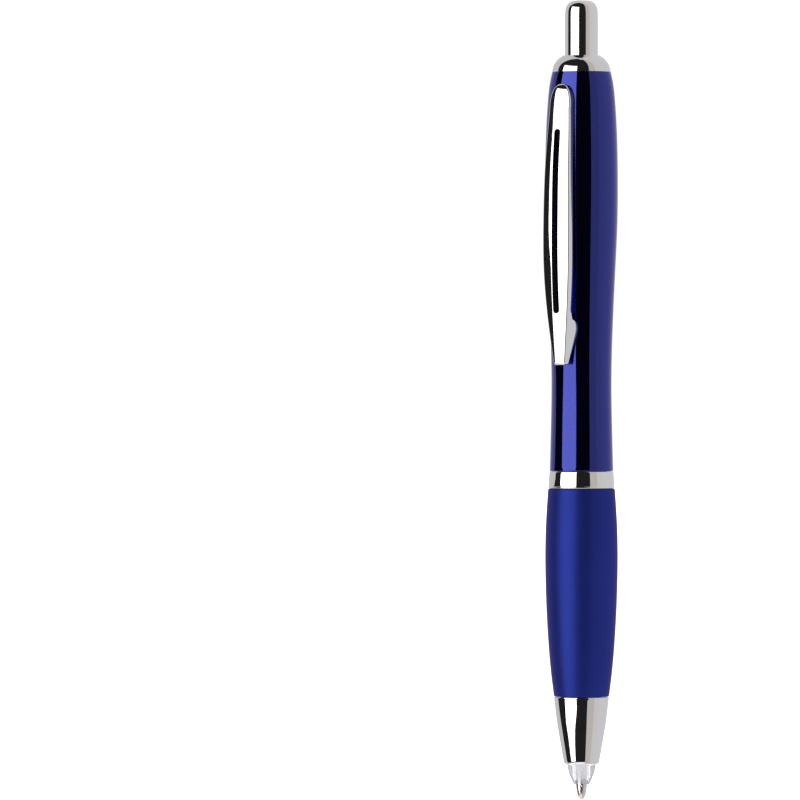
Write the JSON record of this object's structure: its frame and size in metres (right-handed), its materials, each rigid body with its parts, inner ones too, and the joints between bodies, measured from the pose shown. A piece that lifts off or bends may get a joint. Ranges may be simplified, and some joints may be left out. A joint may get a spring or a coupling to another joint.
{
  "type": "retractable ballpoint pen",
  "caption": "Retractable ballpoint pen with a waisted lacquered barrel, slotted spring clip, soft grip, chrome nose and clear tip; its front section comes off for the refill.",
  "frame": {"origin": "the writing point: the lowest point of the ball, on the pen's axis, with the refill latched out", "axes": "+Z along the pen's axis from the writing point to the push button; the pocket clip is on the -Y side; +X completes the right-handed frame"},
  "size_m": [0.0128, 0.0159, 0.1409],
  "materials": {
    "lacquer": "high-gloss metallic blue lacquer",
    "chrome": "mirror",
    "soft_grip": "satin soft-touch",
    "clear_plastic": "translucent, lightly frosted",
    "black_plastic": "moulded",
    "white_plastic": "moulded acetal",
    "brass": "turned",
    "steel": "drawn",
    "nickel_silver": "turned nickel silver",
    "ink": "blue paste ink"
  },
  "bodies": {
    "barrel": {"upper_barrel": "lacquer", "crown_collar": "chrome", "cam_sleeve": "white_plastic", "thread_bush": "brass"},
    "clip": {"pocket_clip": "chrome"},
    "button": {"push_button": "chrome", "button_plunger": "black_plastic"},
    "rotor": {"cam_rotor": "white_plastic"},
    "front": {"centre_ring": "chrome", "grip_core": "black_plastic", "grip_sleeve": "soft_grip", "nose_cone": "chrome", "clear_tip": "clear_plastic", "return_spring": "steel"},
    "refill": {"refill_tube": "steel", "refill_neck": "brass", "refill_end_cap": "black_plastic", "ink_column": "ink", "writing_tip": "nickel_silver"},
    "ball": {"writing_ball": "steel"}
  },
  "joints": [
    {"name": "button_press", "type": "slide", "parent": "barrel", "child": "button", "axis": [0, 0, 1], "range_m": [-0.0013, 0.0045]},
    {"name": "refill_travel", "type": "slide", "parent": "front", "child": "refill", "axis": [0, 0, 1], "range_m": [-0.0013, 0.0045], "stiffness_N_per_m": 200, "springref_m": 0.012, "deforming": ["return_spring"]},
    {"name": "rotor_turn", "type": "hinge", "parent": "button", "child": "rotor", "pos_m": [0, 0, 0.105], "axis": [0, 0, 1], "continuous": true},
    {"name": "front_section_off", "type": "slide", "parent": "barrel", "child": "front", "axis": [0, 0, -1], "range_m": [0, 0.06]},
    {"name": "clip_flex", "type": "hinge", "parent": "barrel", "child": "clip", "pos_m": [0, -0.0059, 0.1255], "axis": [-1, 0, 0], "range_deg": [0, 2.5], "stiffness_Nm_per_rad": 3, "springref_deg": -1.15},
    {"name": "ball_roll", "type": "hinge", "parent": "refill", "child": "ball", "pos_m": [0, 0, 0.0004], "axis": [1, 0, 0], "continuous": true}
  ],
  "couplings": [
    {"joint": "refill_travel", "follows": "button_press", "ratio": 1}
  ]
}
